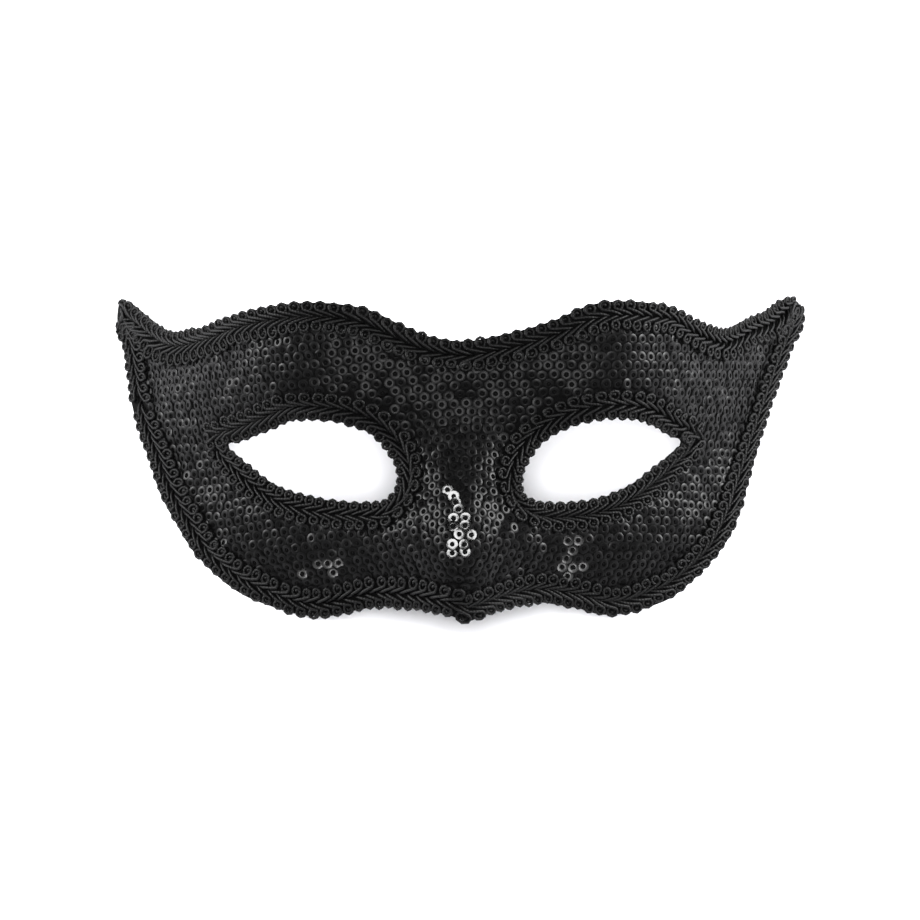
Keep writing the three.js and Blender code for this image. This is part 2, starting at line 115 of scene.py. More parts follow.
eyes = {                            # place and half length as shares of a middling eye's
    'left': {'side': -1, 'middle': 1.016, 'halfLength': 1.032, 'turn': 0.0, 'edge': leftEyeEdge},
    'right': {'side': 1, 'middle': 0.984, 'halfLength': 0.964, 'turn': 2.5, 'edge': rightEyeEdge},
}


def smooth(value, start, end):      # 3s^2 - 2s^3 of the share s from start to end
    share = np.clip((value - start) / (end - start), 0, 1)
    return share * share * (3 - 2 * share)


def curveThrough(points, closed, count, spanSteps=48):
    # centripetal Catmull-Rom: each span is a Hermite cubic whose end slopes weigh the
    # neighbouring spans by the root of their length; then even steps along the whole
    points = np.asarray(points, float)
    if closed:
        row = np.vstack([points[-1:], points, points[:2]])
    else:
        row = np.vstack([2 * points[:1] - points[1:2], points, 2 * points[-1:] - points[-2:-1]])
    before, start, end, after = row[:-3], row[1:-2], row[2:-1], row[3:]
    spans = [np.sqrt(np.linalg.norm(b - a, axis=1))[:, None]
             for a, b in ((before, start), (start, end), (end, after))]
    slopeIn = (start - before) / spans[0] - (end - before) / (spans[0] + spans[1])
    slopeIn = (slopeIn + (end - start) / spans[1]) * spans[1]
    slopeOut = (end - start) / spans[1] - (after - start) / (spans[1] + spans[2])
    slopeOut = (slopeOut + (after - end) / spans[2]) * spans[1]
    s = np.linspace(0, 1, spanSteps, endpoint=False)[None, :, None]
    line = ((2 * s ** 3 - 3 * s ** 2 + 1) * start[:, None]
            + (s ** 3 - 2 * s ** 2 + s) * slopeIn[:, None]
            + (3 * s ** 2 - 2 * s ** 3) * end[:, None] + (s ** 3 - s ** 2) * slopeOut[:, None])
    line = np.vstack([line.reshape(-1, points.shape[1]), end[-1:]])
    return evenly(line, count)


def lengthsAlong(line):             # running sum of the steps between neighbours
    steps = np.linalg.norm(np.diff(line, axis=0), axis=1)
    return np.concatenate([[0], np.cumsum(steps)])


def evenly(line, count):            # count even steps by length, both ends kept
    lengths = lengthsAlong(line)
    wanted = np.linspace(0, lengths[-1], count + 1)
    return np.stack([np.interp(wanted, lengths, column) for column in line.T], axis=1)


outlineScale = np.array([face['halfWidth'], face['halfHeight']])
topLine = curveThrough(topEdge * outlineScale, False, lineSteps['top'])
lowerLine = curveThrough(lowerEdge * outlineScale, False, lineSteps['lower'])


def eyeLine(eye):
    # the hole's edge, clockwise as seen from the front: the shares times the half sizes,
    # turned by the eye's angle and moved to its side
    turn = math.radians(eye['turn'])
    inward, up = np.array(eye['edge']).T
    outward = -inward * eye['halfLength'] * face['eyeHalfLength']
    up = up * face['eyeHalfHeight']
    across = eye['middle'] * face['eyeMiddle'] + outward * math.cos(turn) - up * math.sin(turn)
    line = np.stack([eye['side'] * across, outward * math.sin(turn) + up * math.cos(turn)], axis=1)
    line = curveThrough(line, True, lineSteps['eye'])[:-1]
    return line if eye['side'] < 0 else np.roll(line[::-1], 1, axis=0)


eyeLines = {name: eyeLine(eye) for name, eye in eyes.items()}


def bend(across, up):               # flat in front, then L(s^3 - s^4/2) round to the sides
    flat = face['flatBelow'] + (face['flatAbove'] - face['flatBelow']) * smooth(
        up, face['bendBottom'], face['bendTop'])
    length = face['wrapEnd'] - flat
    share = np.clip((across - flat) / length, 0, 1)
    return length * (share ** 3 - share ** 4 / 2) + np.maximum(across - face['wrapEnd'], 0)


def features(across, up):
    # nose ridge e^(-(x^2+r^2)^0.75 / spread^1.5), less tucks growing with the square
    # of the way past their level, less a bell-shaped socket round each eye
    full = smooth(-up, -face['noseTop'], -face['noseFull'])
    spread = face['bridgeSpread'] + (face['noseSpread'] - face['bridgeSpread']) * full
    ridge = np.exp(-((across ** 2 + face['noseRound'] ** 2) ** 0.75) / spread ** 1.5)
    brow = np.maximum(up - face['browLevel'], 0) / (face['halfHeight'] - face['browLevel'])
    below = np.maximum(face['cheekTuckLevel'] - up, 0)
    below = below / (face['cheekTuckLevel'] + face['halfHeight'])
    fromEye = ((np.abs(across) - face['eyeMiddle']) / face['socketAcross']) ** 2
    fromEye = fromEye + (up / face['socketUp']) ** 2
    return (face['noseOut'] * full * ridge - face['browTuck'] * brow ** 2
            - face['cheekTuck'] * below ** 2 - face['socketDepth'] * np.exp(-fromEye))


levels = np.arange(-face['halfHeight'], face['halfHeight'] + 0.5, 0.5)      # each half millimetre


def sideSteepness(side):            # rim depth at each level over the bend's height there
    level = np.maximum(levels, face['cheekLevel'])
    rimPart = lowerLine[lowerLine[:, 0] * side > face['halfWidth'] / 2]
    nearest = np.abs(rimPart[None, :, 1] - level[:, None]).argmin(axis=1)
    rim = rimPart[nearest, 0] * side
    depth = face['restDepth'] + math.tan(math.radians(face['restLean'])) * level
    return (depth + features(rim, level)) / bend(rim, level)


steepness = {-1: sideSteepness(-1), 1: sideSteepness(1)}


def faceOut(across, up):            # features less the side's steepness times the bend
    left = np.interp(up, levels, steepness[-1])
    right = np.interp(up, levels, steepness[1])
    return features(across, up) - np.where(across < 0, left, right) * bend(np.abs(across), up)


def faceNormal(across, up):         # (-slope across, -slope up, 1), made unit
    slopeX = faceOut(across + probe, up) - faceOut(across - probe, up)
    slopeY = faceOut(across, up + probe) - faceOut(across, up - probe)
    normal = np.stack([-slopeX, -slopeY, np.full_like(slopeX, 2 * probe)], axis=-1)
    return normal / np.linalg.norm(normal, axis=-1, keepdims=True)


def facePoint(across, up, above=0.0):   # the surface, moved out along its normal
    point = np.stack([across, up, faceOut(across, up)], axis=-1)
    return point + faceNormal(across, up) * np.asarray(above)[..., None]


lean = math.radians(face['restLean'])
faceAxes = np.array([[1, 0, 0],     # across, up and out, as they point when the mask lies
                     [0, math.cos(lean), math.sin(lean)],
                     [0, -math.sin(lean), math.cos(lean)]])
faceOrigin = np.array([*face['shift'], face['restDepth'] * math.cos(lean) - face['rimFlat']])


def toRest(points):                 # (point times axes, plus the origin), in metres
    return (points @ faceAxes + faceOrigin) * metre


def slide(places, directions, lengths, steps=6):
    # moved by a length along the surface: each step covers (length / steps) over
    # sqrt(1 + slope^2) in the face's plane
    for step in range(steps):
        ahead = places + directions * probe
        slope = (faceOut(*ahead.T) - faceOut(*places.T)) / probe
        places = places + directions * (lengths / steps / np.sqrt(1 + slope ** 2))[:, None]
    return places


def toTheLeft(line, closed):        # unit vectors square to a line in the face's plane
    if closed:
        along = np.roll(line, -1, axis=0) - np.roll(line, 1, axis=0)
    else:
        along = np.gradient(line, axis=0)
    along = along / np.linalg.norm(along, axis=1, keepdims=True)
    return np.stack([-along[:, 1], along[:, 0]], axis=1)


def addPiece(name, points, faceLists, material, uv=None, values=None):
    # one mesh object from arrays; faceLists holds an array for each number of corners
    mesh = bpy.data.meshes.new(name)
    corners = np.concatenate([faces.ravel() for faces in faceLists]).astype(np.int32)
    sizes = np.concatenate([np.full(len(faces), faces.shape[1]) for faces in faceLists])
    starts = np.concatenate([[0], np.cumsum(sizes)[:-1]]).astype(np.int32)
    mesh.vertices.add(len(points))
    mesh.vertices.foreach_set('co', points.astype(np.float32).ravel())
    mesh.loops.add(len(corners))
    mesh.loops.foreach_set('vertex_index', corners)
    mesh.polygons.add(len(sizes))
    mesh.polygons.foreach_set('loop_start', starts)
    mesh.update(calc_edges=True)
    if uv is not None:
        layer = mesh.uv_layers.new(name='along')
        layer.data.foreach_set('uv', uv[corners].astype(np.float32).ravel())
    for key, column in (values or {}).items():
        attribute = mesh.attributes.new(key, 'FLOAT', 'POINT')
        attribute.data.foreach_set('value', column.astype(np.float32))
    mesh.validate()
    mesh.shade_smooth()
    mesh.materials.append(material)
    piece = bpy.data.objects.new(name, mesh)
    bpy.context.scene.collection.objects.link(piece)
    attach(piece, 'root')
    print(name, len(points), 'points', int((sizes - 2).sum()), 'triangles')
    return piece


def newMaterial(name, constants):   # a principled material with its constants on the shader
    material = bpy.data.materials.new(name)
    material.use_nodes = True
    shader = material.node_tree.nodes['Principled BSDF']
    for socket, value in constants.items():
        shader.inputs[socket].default_value = value
    return material, material.node_tree, shader


def addNode(tree, kind, inputs=None, **settings):   # sockets get linked, other values set
    node = tree.nodes.new(kind)
    for key, value in settings.items():
        setattr(node, key, value)
    for key, value in (inputs or {}).items():
        if isinstance(value, bpy.types.NodeSocket):
            tree.links.new(value, node.inputs[key])
        else:
            node.inputs[key].default_value = value
    return node


def rampOf(tree, factor, stops):    # a colour ramp through (place, colour) stops
    node = addNode(tree, 'ShaderNodeValToRGB', {'Fac': factor})
    ramp = node.color_ramp
    ramp.elements[0].position, ramp.elements[0].color = stops[0]
    ramp.elements[1].position, ramp.elements[1].color = stops[-1]
    for place, colour in stops[1:-1]:
        ramp.elements.new(place).color = colour
    return node.outputs['Color']


def grey(value):                    # a touch of blue
    return (value, value, value * 1.03, 1)


def rangeOf(tree, value, low, high):    # 0..1 to low..high
    sockets = {'Value': value, 'To Min': low, 'To Max': high}
    return addNode(tree, 'ShaderNodeMapRange', sockets).outputs[0]


def mathOf(tree, operation, *values):   # one operation on sockets or numbers
    return addNode(tree, 'ShaderNodeMath', dict(enumerate(values)), operation=operation).outputs[0]


def noiseOf(tree, vector, scale, detail=2.0):       # grey noise, with so many cells a metre
    return addNode(tree, 'ShaderNodeTexNoise', {
        'Vector': vector, 'Scale': scale, 'Detail': detail}).outputs['Fac']


def addBump(tree, shader, height, strength, distance):  # the shader's normal follows a height
    bump = addNode(tree, 'ShaderNodeBump', {
        'Height': height, 'Strength': strength, 'Distance': distance})
    tree.links.new(bump.outputs['Normal'], shader.inputs['Normal'])


# camera, floor and light

view = {
    'distance': 3.0,
    'pixels': 920,
    'pixelsPerMillimetre': 3.85,    # at the middle of the face
    'sensor': 36.0,
}
studio = {
    'floorTone': 0.92,
    'floorReach': 4.0,              # metres each way
    'worldTone': 0.06,
    'lamps': [                      # across, up, out in metres from the face; size; watts
        ('frontSoftbox', (0.0, 0.12, 3.5), 1.3, 170),
        ('frontLeftSoftbox', (-1.7, 0.35, 3.1), 1.3, 22),
        ('frontRightSoftbox', (1.7, 0.35, 3.1), 1.3, 22),
        ('topLamp', (0.0, 1.0, 1.73), 0.4, 9.5),
        ('leftSoftbox', (-1.6, 0.6, 0.15), 0.5, 64),
        ('rightSoftbox', (1.6, 0.6, 0.15), 0.5, 82),
    ],
}


def aimed(place, target, upward):   # looks from place to target: back, right and up are its axes
    back = (Vector(place) - Vector(target)).normalized()
    right = Vector(upward).cross(back).normalized()
    turned = Matrix((right, back.cross(right), back)).transposed().to_4x4()
    return Matrix.Translation(Vector(place)) @ turned


middle = faceOrigin * metre
camera = bpy.data.objects.new('camera', bpy.data.cameras.new('camera'))
camera.data.sensor_width = view['sensor']
fieldWidth = view['pixels'] / view['pixelsPerMillimetre'] * metre
camera.data.lens = view['sensor'] * view['distance'] / fieldWidth
camera.data.clip_start = 0.1
camera.data.clip_end = 50
camera.matrix_world = aimed(middle + faceAxes[2] * view['distance'], middle, faceAxes[1])
bpy.context.scene.collection.objects.link(camera)
bpy.context.scene.camera = camera
bpy.context.scene.view_settings.view_transform = 'Standard'     # keeps the floor white

floorMaterial, tree, shader = newMaterial('paleFloor', {'Roughness': 0.8})
coords = addNode(tree, 'ShaderNodeTexCoord').outputs['Object']
speckle = noiseOf(tree, coords, 6.0)
floorTone = studio['floorTone']
tree.links.new(rampOf(tree, speckle, [(0.3, grey(floorTone * 0.99)), (0.7, grey(floorTone))]),
               shader.inputs['Base Color'])
floorMesh = bpy.data.meshes.new('floor')
reach = studio['floorReach']
floorCorners = [(x * reach, y * reach, 0) for x, y in ((-1, -1), (1, -1), (1, 1), (-1, 1))]
floorMesh.from_pydata(floorCorners, [], [(0, 1, 2, 3)])
floorMesh.materials.append(floorMaterial)
floor = bpy.data.objects.new('floor', floorMesh)
bpy.context.scene.collection.objects.link(floor)

world = bpy.data.worlds.new('studio')
world.use_nodes = True
world.node_tree.nodes['Background'].inputs['Color'].default_value = grey(studio['worldTone'])
bpy.context.scene.world = world
for name, place, size, watts in studio['lamps']:
    data = bpy.data.lights.new(name, 'AREA')
    data.shape = 'DISK'
    data.size = size
    data.energy = watts
    lamp = bpy.data.objects.new(name, data)
    lamp.matrix_world = aimed(middle + np.array(place) @ faceAxes, middle, (1, 0, 0))
    bpy.context.scene.collection.objects.link(lamp)
print('camera, floor and light ready')


# the cloth: two skins over the whole face, with walls at the eye holes and round the rim

shellCloth = {
    'wall': 1.5,
    'rimInset': 0.45,               # the braid stands this far over the cloth's rim
    'holeInset': 0.42,
    'leanOut': 0.6,                 # how far the rim comes out under loops that lean out
    'tableInset': 0.75,             # further in where the rim meets the table
    'clearAbove': 4.2,              # the height from which the rim is clear of the table
    'stations': 420,                # round each eye
    'rings': 30,
    'crowding': 1.25,               # how much the rings gather at the rim
    'tone': 0.0011,
    'specular': 0.05,
    'roughness': (0.8, 0.98),
    'fineScale': 900.0,             # noise and weave, per metre
    'broadScale': 60.0,
    'weaveScale': 360.0,
    'bump': (0.35, 0.0002),         # strength and metres
}


def leansAway(line, outward):       # the normal's part against the way outward, or 0
    return np.maximum(-(faceNormal(*line.T)[:, :2] * outward).sum(axis=1), 0)


def nearTable(line):                # 1 at the table, 0 from the height where it's clear
    height = toRest(facePoint(*line.T))[:, 2] / metre
    return 1 - smooth(height, 0, shellCloth['clearAbove'])


def setBack(line, outward, inset):
    # an edge of the cloth, behind the braid's loops: the inset, more by the wall times the
    # normal's lean back, less by its lean out
    inset = inset + shellCloth['wall'] * leansAway(line, outward)
    return slide(line, -outward, inset - shellCloth['leanOut'] * leansAway(line, -outward))


def clothHalf(name):
    # rings from the eye hole out to the rim: the place is hole + s (rim - hole), with
    # s crowded to the rim; the two halves share the line down the middle of the nose
    eye = eyes[name]
    side = eye['side']
    top, lower = (setBack(line, toTheLeft(line, False),
                          shellCloth['rimInset'] + shellCloth['tableInset'] * nearTable(line))
                  for line in (topLine, lowerLine))
    tip = (top[-1] + lower[0]) / 2 if side > 0 else (top[0] + lower[-1]) / 2
    upper = top[top[:, 0] * side > 0]
    under = lower[lower[:, 0] * side > 0]
    topMiddle = np.array([[0, np.interp(0, top[:, 0], top[:, 1])]])
    bottomMiddle = np.array([[0, lower[np.abs(lower[:, 0]).argmin(), 1]]])
    if side < 0:                    # left: tip, top edge, middle, lower edge, round to the tip
        loop = np.vstack([tip, upper, topMiddle, bottomMiddle, under, tip])
    else:                           # right: tip, lower edge, middle, top edge
        loop = np.vstack([tip, under, bottomMiddle, topMiddle, upper, tip])
    rim = evenly(loop, shellCloth['stations'])[:-1]
    centre = np.array([side * eye['middle'] * face['eyeMiddle'], 0])
    line = eyeLines[name]
    hole = setBack(line, -toTheLeft(line, True), shellCloth['holeInset'])
    holeAngles = np.mod(np.arctan2(*(hole - centre).T[::-1]), 2 * np.pi)
    order = np.argsort(holeAngles)
    angles = np.arctan2(*(rim - centre).T[::-1])
    radius = np.interp(np.mod(angles, 2 * np.pi), holeAngles[order],
                       np.linalg.norm(hole - centre, axis=1)[order], period=2 * np.pi)
    inner = centre + np.stack([np.cos(angles), np.sin(angles)], axis=1) * radius[:, None]
    share = 1 - (1 - np.linspace(0, 1, shellCloth['rings'] + 1)) ** shellCloth['crowding']
    return inner[None] + share[:, None, None] * (rim - inner)[None]


clothPoints, clothFaces = [], []
for name in eyes:
    grid = clothHalf(name)
    rows, columns = grid.shape[:2]
    flat = grid.reshape(-1, 2)
    count = len(flat)
    start = sum(len(points) for points in clothPoints)
    clothPoints.append(np.vstack([facePoint(*flat.T),
                                  facePoint(*flat.T, np.full(count, -shellCloth['wall']))]))
    # the columns run clockwise and the rows outward, so these quads face the front
    row = np.arange(rows - 1)[:, None] * columns
    column = np.arange(columns)
    after = (column + 1) % columns
    front = np.stack([row + column, row + after,
                      row + columns + after, row + columns + column], axis=-1).reshape(-1, 4)
    holeWall = np.stack([column + count, after + count, after, column], axis=1)
    last = (rows - 1) * columns
    rimWall = np.stack([after, after + count, column + count, column], axis=1) + last
    # no wall where the two halves meet
    onMiddle = (np.abs(flat[last + column, 0]) < 1e-6) & (np.abs(flat[last + after, 0]) < 1e-6)
    clothFaces += [faces + start
                   for faces in (front, front[:, ::-1] + count, holeWall, rimWall[~onMiddle])]
clothPoints = toRest(np.vstack(clothPoints))
clothPoints[:, 2] = np.maximum(clothPoints[:, 2], 0)        # nothing under the table

clothMaterial, tree, shader = newMaterial('blackKnitCloth', {
    'Sheen Weight': 0.01, 'Sheen Roughness': 0.5, 'Specular IOR Level': shellCloth['specular']})
coords = addNode(tree, 'ShaderNodeTexCoord').outputs['Object']
fine = noiseOf(tree, coords, shellCloth['fineScale'], 3.0)
broad = noiseOf(tree, coords, shellCloth['broadScale'])
weave = addNode(tree, 'ShaderNodeTexWave', {
    'Vector': coords, 'Scale': shellCloth['weaveScale'], 'Distortion': 1.5},
    bands_direction='X').outputs['Fac']
mixed = mathOf(tree, 'MULTIPLY', fine, broad)
tone = shellCloth['tone']
tree.links.new(rampOf(tree, mixed, [(0.1, grey(tone * 0.6)), (0.45, grey(tone * 1.6))]),
               shader.inputs['Base Color'])
tree.links.new(rangeOf(tree, fine, *shellCloth['roughness']), shader.inputs['Roughness'])
addBump(tree, shader, mathOf(tree, 'ADD', weave, fine), *shellCloth['bump'])
cloth = addPiece('shell_cloth', clothPoints, [np.vstack(clothFaces)], clothMaterial)
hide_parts('mask_shell')


# the braid: a row of cord scrolls on each side of a middle line

braid = {
    'width': 8.4,
    'eyeWidth': 7.8,
    'pitch': 3.35,
    'cord': 0.86,                   # the cord's own diameter
    'sides': 5,
    'loopRadius': 1.27,             # of the cord's line
    'loopOut': 2.58,                # the loop's middle, out from the middle line
    'loopJoin': 222.0,              # degrees from ahead, where the stem meets the loop
    'loopTurns': 1.72,
    'loopStations': 15,
    'loopEnd': 0.12,                # the radius left at the end of the curl
    'curlBetween': (0.4, 0.98),     # the radius shrinks between these shares of the way
    'loopAbove': 1.15,              # the cord's height where the loop starts
    'sink': 0.25,                   # how much lower it soon runs
    'dip': 0.35,                    # and lower still where it passes under its stem
    'phases': (0.5, 0.2),           # where the outer and the inner row start, in pitches
    'startSpread': 0.12,
    'sizeSpread': 0.04,
    'heightSpread': 0.06,
    'ends': (0.6, 0.8),             # how thin the cord is at its two ends
    'twistsPerMillimetre': 1.1,
    'tableInset': 1.46,             # how far the strip stands in where the rim meets the table
    'tone': 0.001,
    'specular': 0.122,
    'roughness': (0.42, 0.6),
    'fuzzScale': 1800.0,            # noise, per metre
    'broadScale': 90.0,
    'bump': (0.35, 0.0001),         # strength and metres
    'turnWindow': 15,               # points over which the way inward is evened out
    'stretchLeft': 0.42,            # how much wider the inner row is at the steep sides
    'stretchRight': 0.15,
    'tipShare': 0.5,                # the outer row's share of its width at the tips
    'tipLength': 7.0,
    'seamUp': 13.5,                 # the left strip starts at this level
    'overTips': (0.45, 0.25),       # how far the top strip is raised at its left and right tip
    'overCorner': 0.6,              # and one end of an eye's strip over the other
}

# the stem: ahead along the strip, out from its middle line, above the cloth
stem = np.array([
    (4.9, 0.00, 0.05), (4.1, 0.17, 0.50), (3.1, 0.48, 0.90), (2.0, 0.86, 1.12), (0.8, 1.18, 1.22)])


def scrollLine():
    # the stem, then a spiral round the loop's middle: the angle falls evenly from the
    # join, the radius shrinks past the middle of the way, and the cord dips under its stem
    share = np.linspace(0, 1, braid['loopStations'])
    angle = np.radians(braid['loopJoin'] - 360 * braid['loopTurns'] * share)
    shrunk = smooth(share, *braid['curlBetween'])
    radius = braid['loopRadius'] - (braid['loopRadius'] - braid['loopEnd']) * shrunk
    above = (braid['loopAbove'] - braid['sink'] * smooth(share, 0.1, 0.4)
             - braid['dip'] * np.exp(-((share - 0.6) / 0.12) ** 2))
    ahead, out = radius * np.cos(angle), braid['loopOut'] + radius * np.sin(angle)
    return np.vstack([stem, np.stack([ahead, out, above], axis=1)])


def tubes(centres, radius, normals):
    # cords carried along many paths at once: a ring's point is its centre plus
    # r (cos f side + sin f rise), with side square to the path and the surface's normal,
    # and rise square to the path and side
    along = np.gradient(centres, axis=1)
    along /= np.linalg.norm(along, axis=2, keepdims=True)
    side = np.cross(along, normals)
    side /= np.linalg.norm(side, axis=2, keepdims=True)
    rise = np.cross(side, along)
    angle = np.arange(braid['sides']) * 2 * np.pi / braid['sides']
    ring = np.cos(angle)[:, None] * side[:, :, None] + np.sin(angle)[:, None] * rise[:, :, None]
    points = centres[:, :, None] + ring * radius[..., None, None]
    paths, stations, sides = points.shape[:3]
    row = np.arange(stations - 1)[:, None] * sides
    column = np.arange(sides)
    after = (column + 1) % sides
    quads = np.stack([row + column, row + after,
                      row + sides + after, row + sides + column], axis=-1)
    starts = np.arange(paths)[:, None] * stations * sides
    quads = (quads.reshape(1, -1, 4) + starts[:, :, None]).reshape(-1, 4)
    ends = np.vstack([starts + column[::-1], starts + (stations - 1) * sides + column])
    steps = np.linalg.norm(np.diff(centres, axis=1), axis=2)
    length = np.concatenate([np.zeros((paths, 1)), np.cumsum(steps, axis=1)], axis=1)
    around = np.broadcast_to(np.minimum(column, sides - column) / sides, points.shape[:3])
    uv = np.stack([np.broadcast_to(length[:, :, None], around.shape), around], axis=-1)
    return points.reshape(-1, 3), [quads, ends], uv.reshape(-1, 2)


def scrollsAlong(strip, first, last):
    # scrolls in two rows between two rows of a strip; a strip's columns are its outer
    # edge (2), the way inward (2), its outer and inner half widths and its rise. Each point
    # is looked up along the middle line, slid across it and raised off the cloth
    lengths = lengthsAlong(facePoint(*slide(strip[:, :2], strip[:, 2:4], strip[:, 4]).T))
    reach = lengths[last] - lengths[first]
    count = int(round(reach / braid['pitch']))
    shape = scrollLine()
    half = braid['width'] / 2
    centres, normals = [], []
    for row, phase in zip((1, -1), braid['phases']):        # the outer row, then the inner one
        starts = lengths[first] + (np.arange(count) + phase) * reach / count
        starts = starts + chance.normal(0, braid['startSpread'], count)
        grow = 1 + chance.normal(0, braid['sizeSpread'], count)[:, None]
        ahead = (starts[:, None] + shape[:, 0] * grow).ravel()
        at = np.stack([np.interp(ahead, lengths, column) for column in strip.T], axis=1)
        across = at[:, 2:4] / np.linalg.norm(at[:, 2:4], axis=1, keepdims=True)
        wide = at[:, 4] if row > 0 else at[:, 5]
        out = (row * shape[:, 1] * grow).ravel() * wide / half
        foot = slide(at[:, :2], across, at[:, 4] - out)
        lift = chance.normal(0, braid['heightSpread'], count)[:, None]
        above = (shape[:, 2] + lift).ravel() + at[:, 6]
        centres.append(toRest(facePoint(*foot.T, above)).reshape(count, -1, 3))
        normals.append((faceNormal(*foot.T) @ faceAxes).reshape(count, -1, 3))
    centres, normals = np.vstack(centres), np.vstack(normals)
    centres[..., 2] = np.maximum(centres[..., 2], braid['cord'] / 2 * metre)
    end = len(shape) - 1
    thin, thinEnd = braid['ends']
    taper = np.interp(np.arange(end + 1), [0, 2, end - 2, end], [thin, 1, 1, thinEnd])
    radius = np.broadcast_to(taper * braid['cord'] / 2 * metre, centres.shape[:2])
    return tubes(centres, radius, normals)


# the cord's strands: sin(2 pi (turns along it + turns round it)), with fuzz on top; in the base
# colour the strand stripes are painted shade in the grooves between the strands, while the fuzz
# and broad noise are a random tone
cordMaterial, tree, shader = newMaterial('blackTwistedCord', {
    'Specular IOR Level': braid['specular']})
coords = addNode(tree, 'ShaderNodeTexCoord')
split = addNode(tree, 'ShaderNodeSeparateXYZ', {0: coords.outputs['UV']})
turns = mathOf(tree, 'MULTIPLY', split.outputs['X'], braid['twistsPerMillimetre'] / metre)
strand = mathOf(tree, 'ADD', turns, split.outputs['Y'])
ply = mathOf(tree, 'SINE', mathOf(tree, 'MULTIPLY', strand, 2 * math.pi))
fuzz = noiseOf(tree, coords.outputs['Object'], braid['fuzzScale'], 3.0)
broad = noiseOf(tree, coords.outputs['Object'], braid['broadScale'])
# base colour: painted shade between the twisted strands, plus random fuzz and broad tone
strandShadeAndFuzz = mathOf(tree, 'ADD', rangeOf(tree, ply, 0.25, 0.55), rangeOf(tree, fuzz, -0.2, 0.5))
strandShadeAndFuzz = mathOf(tree, 'ADD', strandShadeAndFuzz, rangeOf(tree, broad, -0.2, 0.2))
tone = braid['tone']
tree.links.new(rampOf(tree, strandShadeAndFuzz, [(0.1, grey(tone * 0.45)), (0.9, grey(tone * 1.8))]),
               shader.inputs['Base Color'])
tree.links.new(rangeOf(tree, fuzz, *braid['roughness']), shader.inputs['Roughness'])
addBump(tree, shader, mathOf(tree, 'ADD', ply, fuzz), *braid['bump'])


def addBraid(name, strip, first, last):     # a strip's cords, in place of its plain band
    points, faces, uv = scrollsAlong(strip, first, last)
    piece = addPiece(name + '_cords', points, faces, cordMaterial, uv=uv)
    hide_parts(name)


def evenedOut(directions, window):  # a running mean round a closed line, made unit again
    shifts = range(-(window // 2), window // 2 + 1)
    mean = sum(np.roll(directions, shift, axis=0) for shift in shifts)
    return mean / np.linalg.norm(mean, axis=1, keepdims=True)


# the whole outline as one closed strip, clockwise from the left tip
outline = np.vstack([topLine, lowerLine[1:-1]])
inward = evenedOut(-toTheLeft(outline, True), braid['turnWindow'])
tableInset = braid['tableInset'] * nearTable(outline)
outer = slide(outline, inward, tableInset - leansAway(outline, -inward))
steep = 1 - smooth(faceNormal(*outline.T)[:, 2], 0.55, 0.95)
fromTips = [np.linalg.norm(outline - tip, axis=1) for tip in (topLine[0], topLine[-1])]
full = smooth(np.minimum(*fromTips), 0, braid['tipLength'])
half = braid['width'] / 2 * (braid['tipShare'] + (1 - braid['tipShare']) * full)
stretch = np.where(outline[:, 0] < 0, braid['stretchLeft'], braid['stretchRight']) * steep
columns = np.column_stack([outer, inward, half, braid['width'] / 2 * (1 + stretch), 0 * half])
rightTip = len(topLine) - 1
seam = rightTip + int(np.argmax((lowerLine[:, 0] < 0) & (lowerLine[:, 1] > braid['seamUp'])))

# the rows of the outline where a strip's scrolls start and stop, and how many more rows it
# needs before and after for stems that reach past its ends
strips = {
    'edge_braid_top': (2, rightTip - 4, 4, 14),
    'edge_braid_lower': (rightTip + 1, seam - 2, 4, 14),
    'edge_braid_left': (seam + 2, len(outline) - 10, 3, 9),
}
for name, (start, stop, before, after) in strips.items():
    strip = columns[np.arange(start - before, stop + after) % len(columns)]
    last = before + stop - start - 1
    if name == 'edge_braid_top':    # lies over the other two at the tips
        run = np.arange(len(strip))
        strip[:, 6] = (braid['overTips'][0] * (1 - smooth(run, 4, 24))
                       + braid['overTips'][1] * smooth(run, last - 16, last))
    addBraid(name, strip, before, last)

for name, line in eyeLines.items():
    # once round the hole from its outer corner, with some points more before and after it;
    # the raised end is the last on the right and the first on the left
    back, forward = line[0] - line[3], line[0] - line[-3]
    back, forward = back / np.linalg.norm(back), forward / np.linalg.norm(forward)
    before, after, step = 10, 18, 0.5
    line = np.vstack([line[0] + back * np.arange(before, 0, -1)[:, None] * step, line,
                      line[0] + forward * np.arange(after)[:, None] * step])
    away = toTheLeft(line, False)
    width = np.full(len(line), braid['eyeWidth'])
    run = np.arange(len(line))
    over = smooth(run, len(line) - 2 * after, len(line) - after)
    if name == 'left':
        over = 1 - smooth(run, before - 2, before + 16)
    outer = slide(line, away, width - leansAway(line, -away))
    strip = np.column_stack([outer, -away, width / 2, width / 2, braid['overCorner'] * over])
    first, last = 3, len(line) - 14     # the stems reach past the last scroll's row
    addBraid(name + '_eye_braid', strip, first, last)


# the sequins: rows of cupped discs, each row over the foot of the row above it

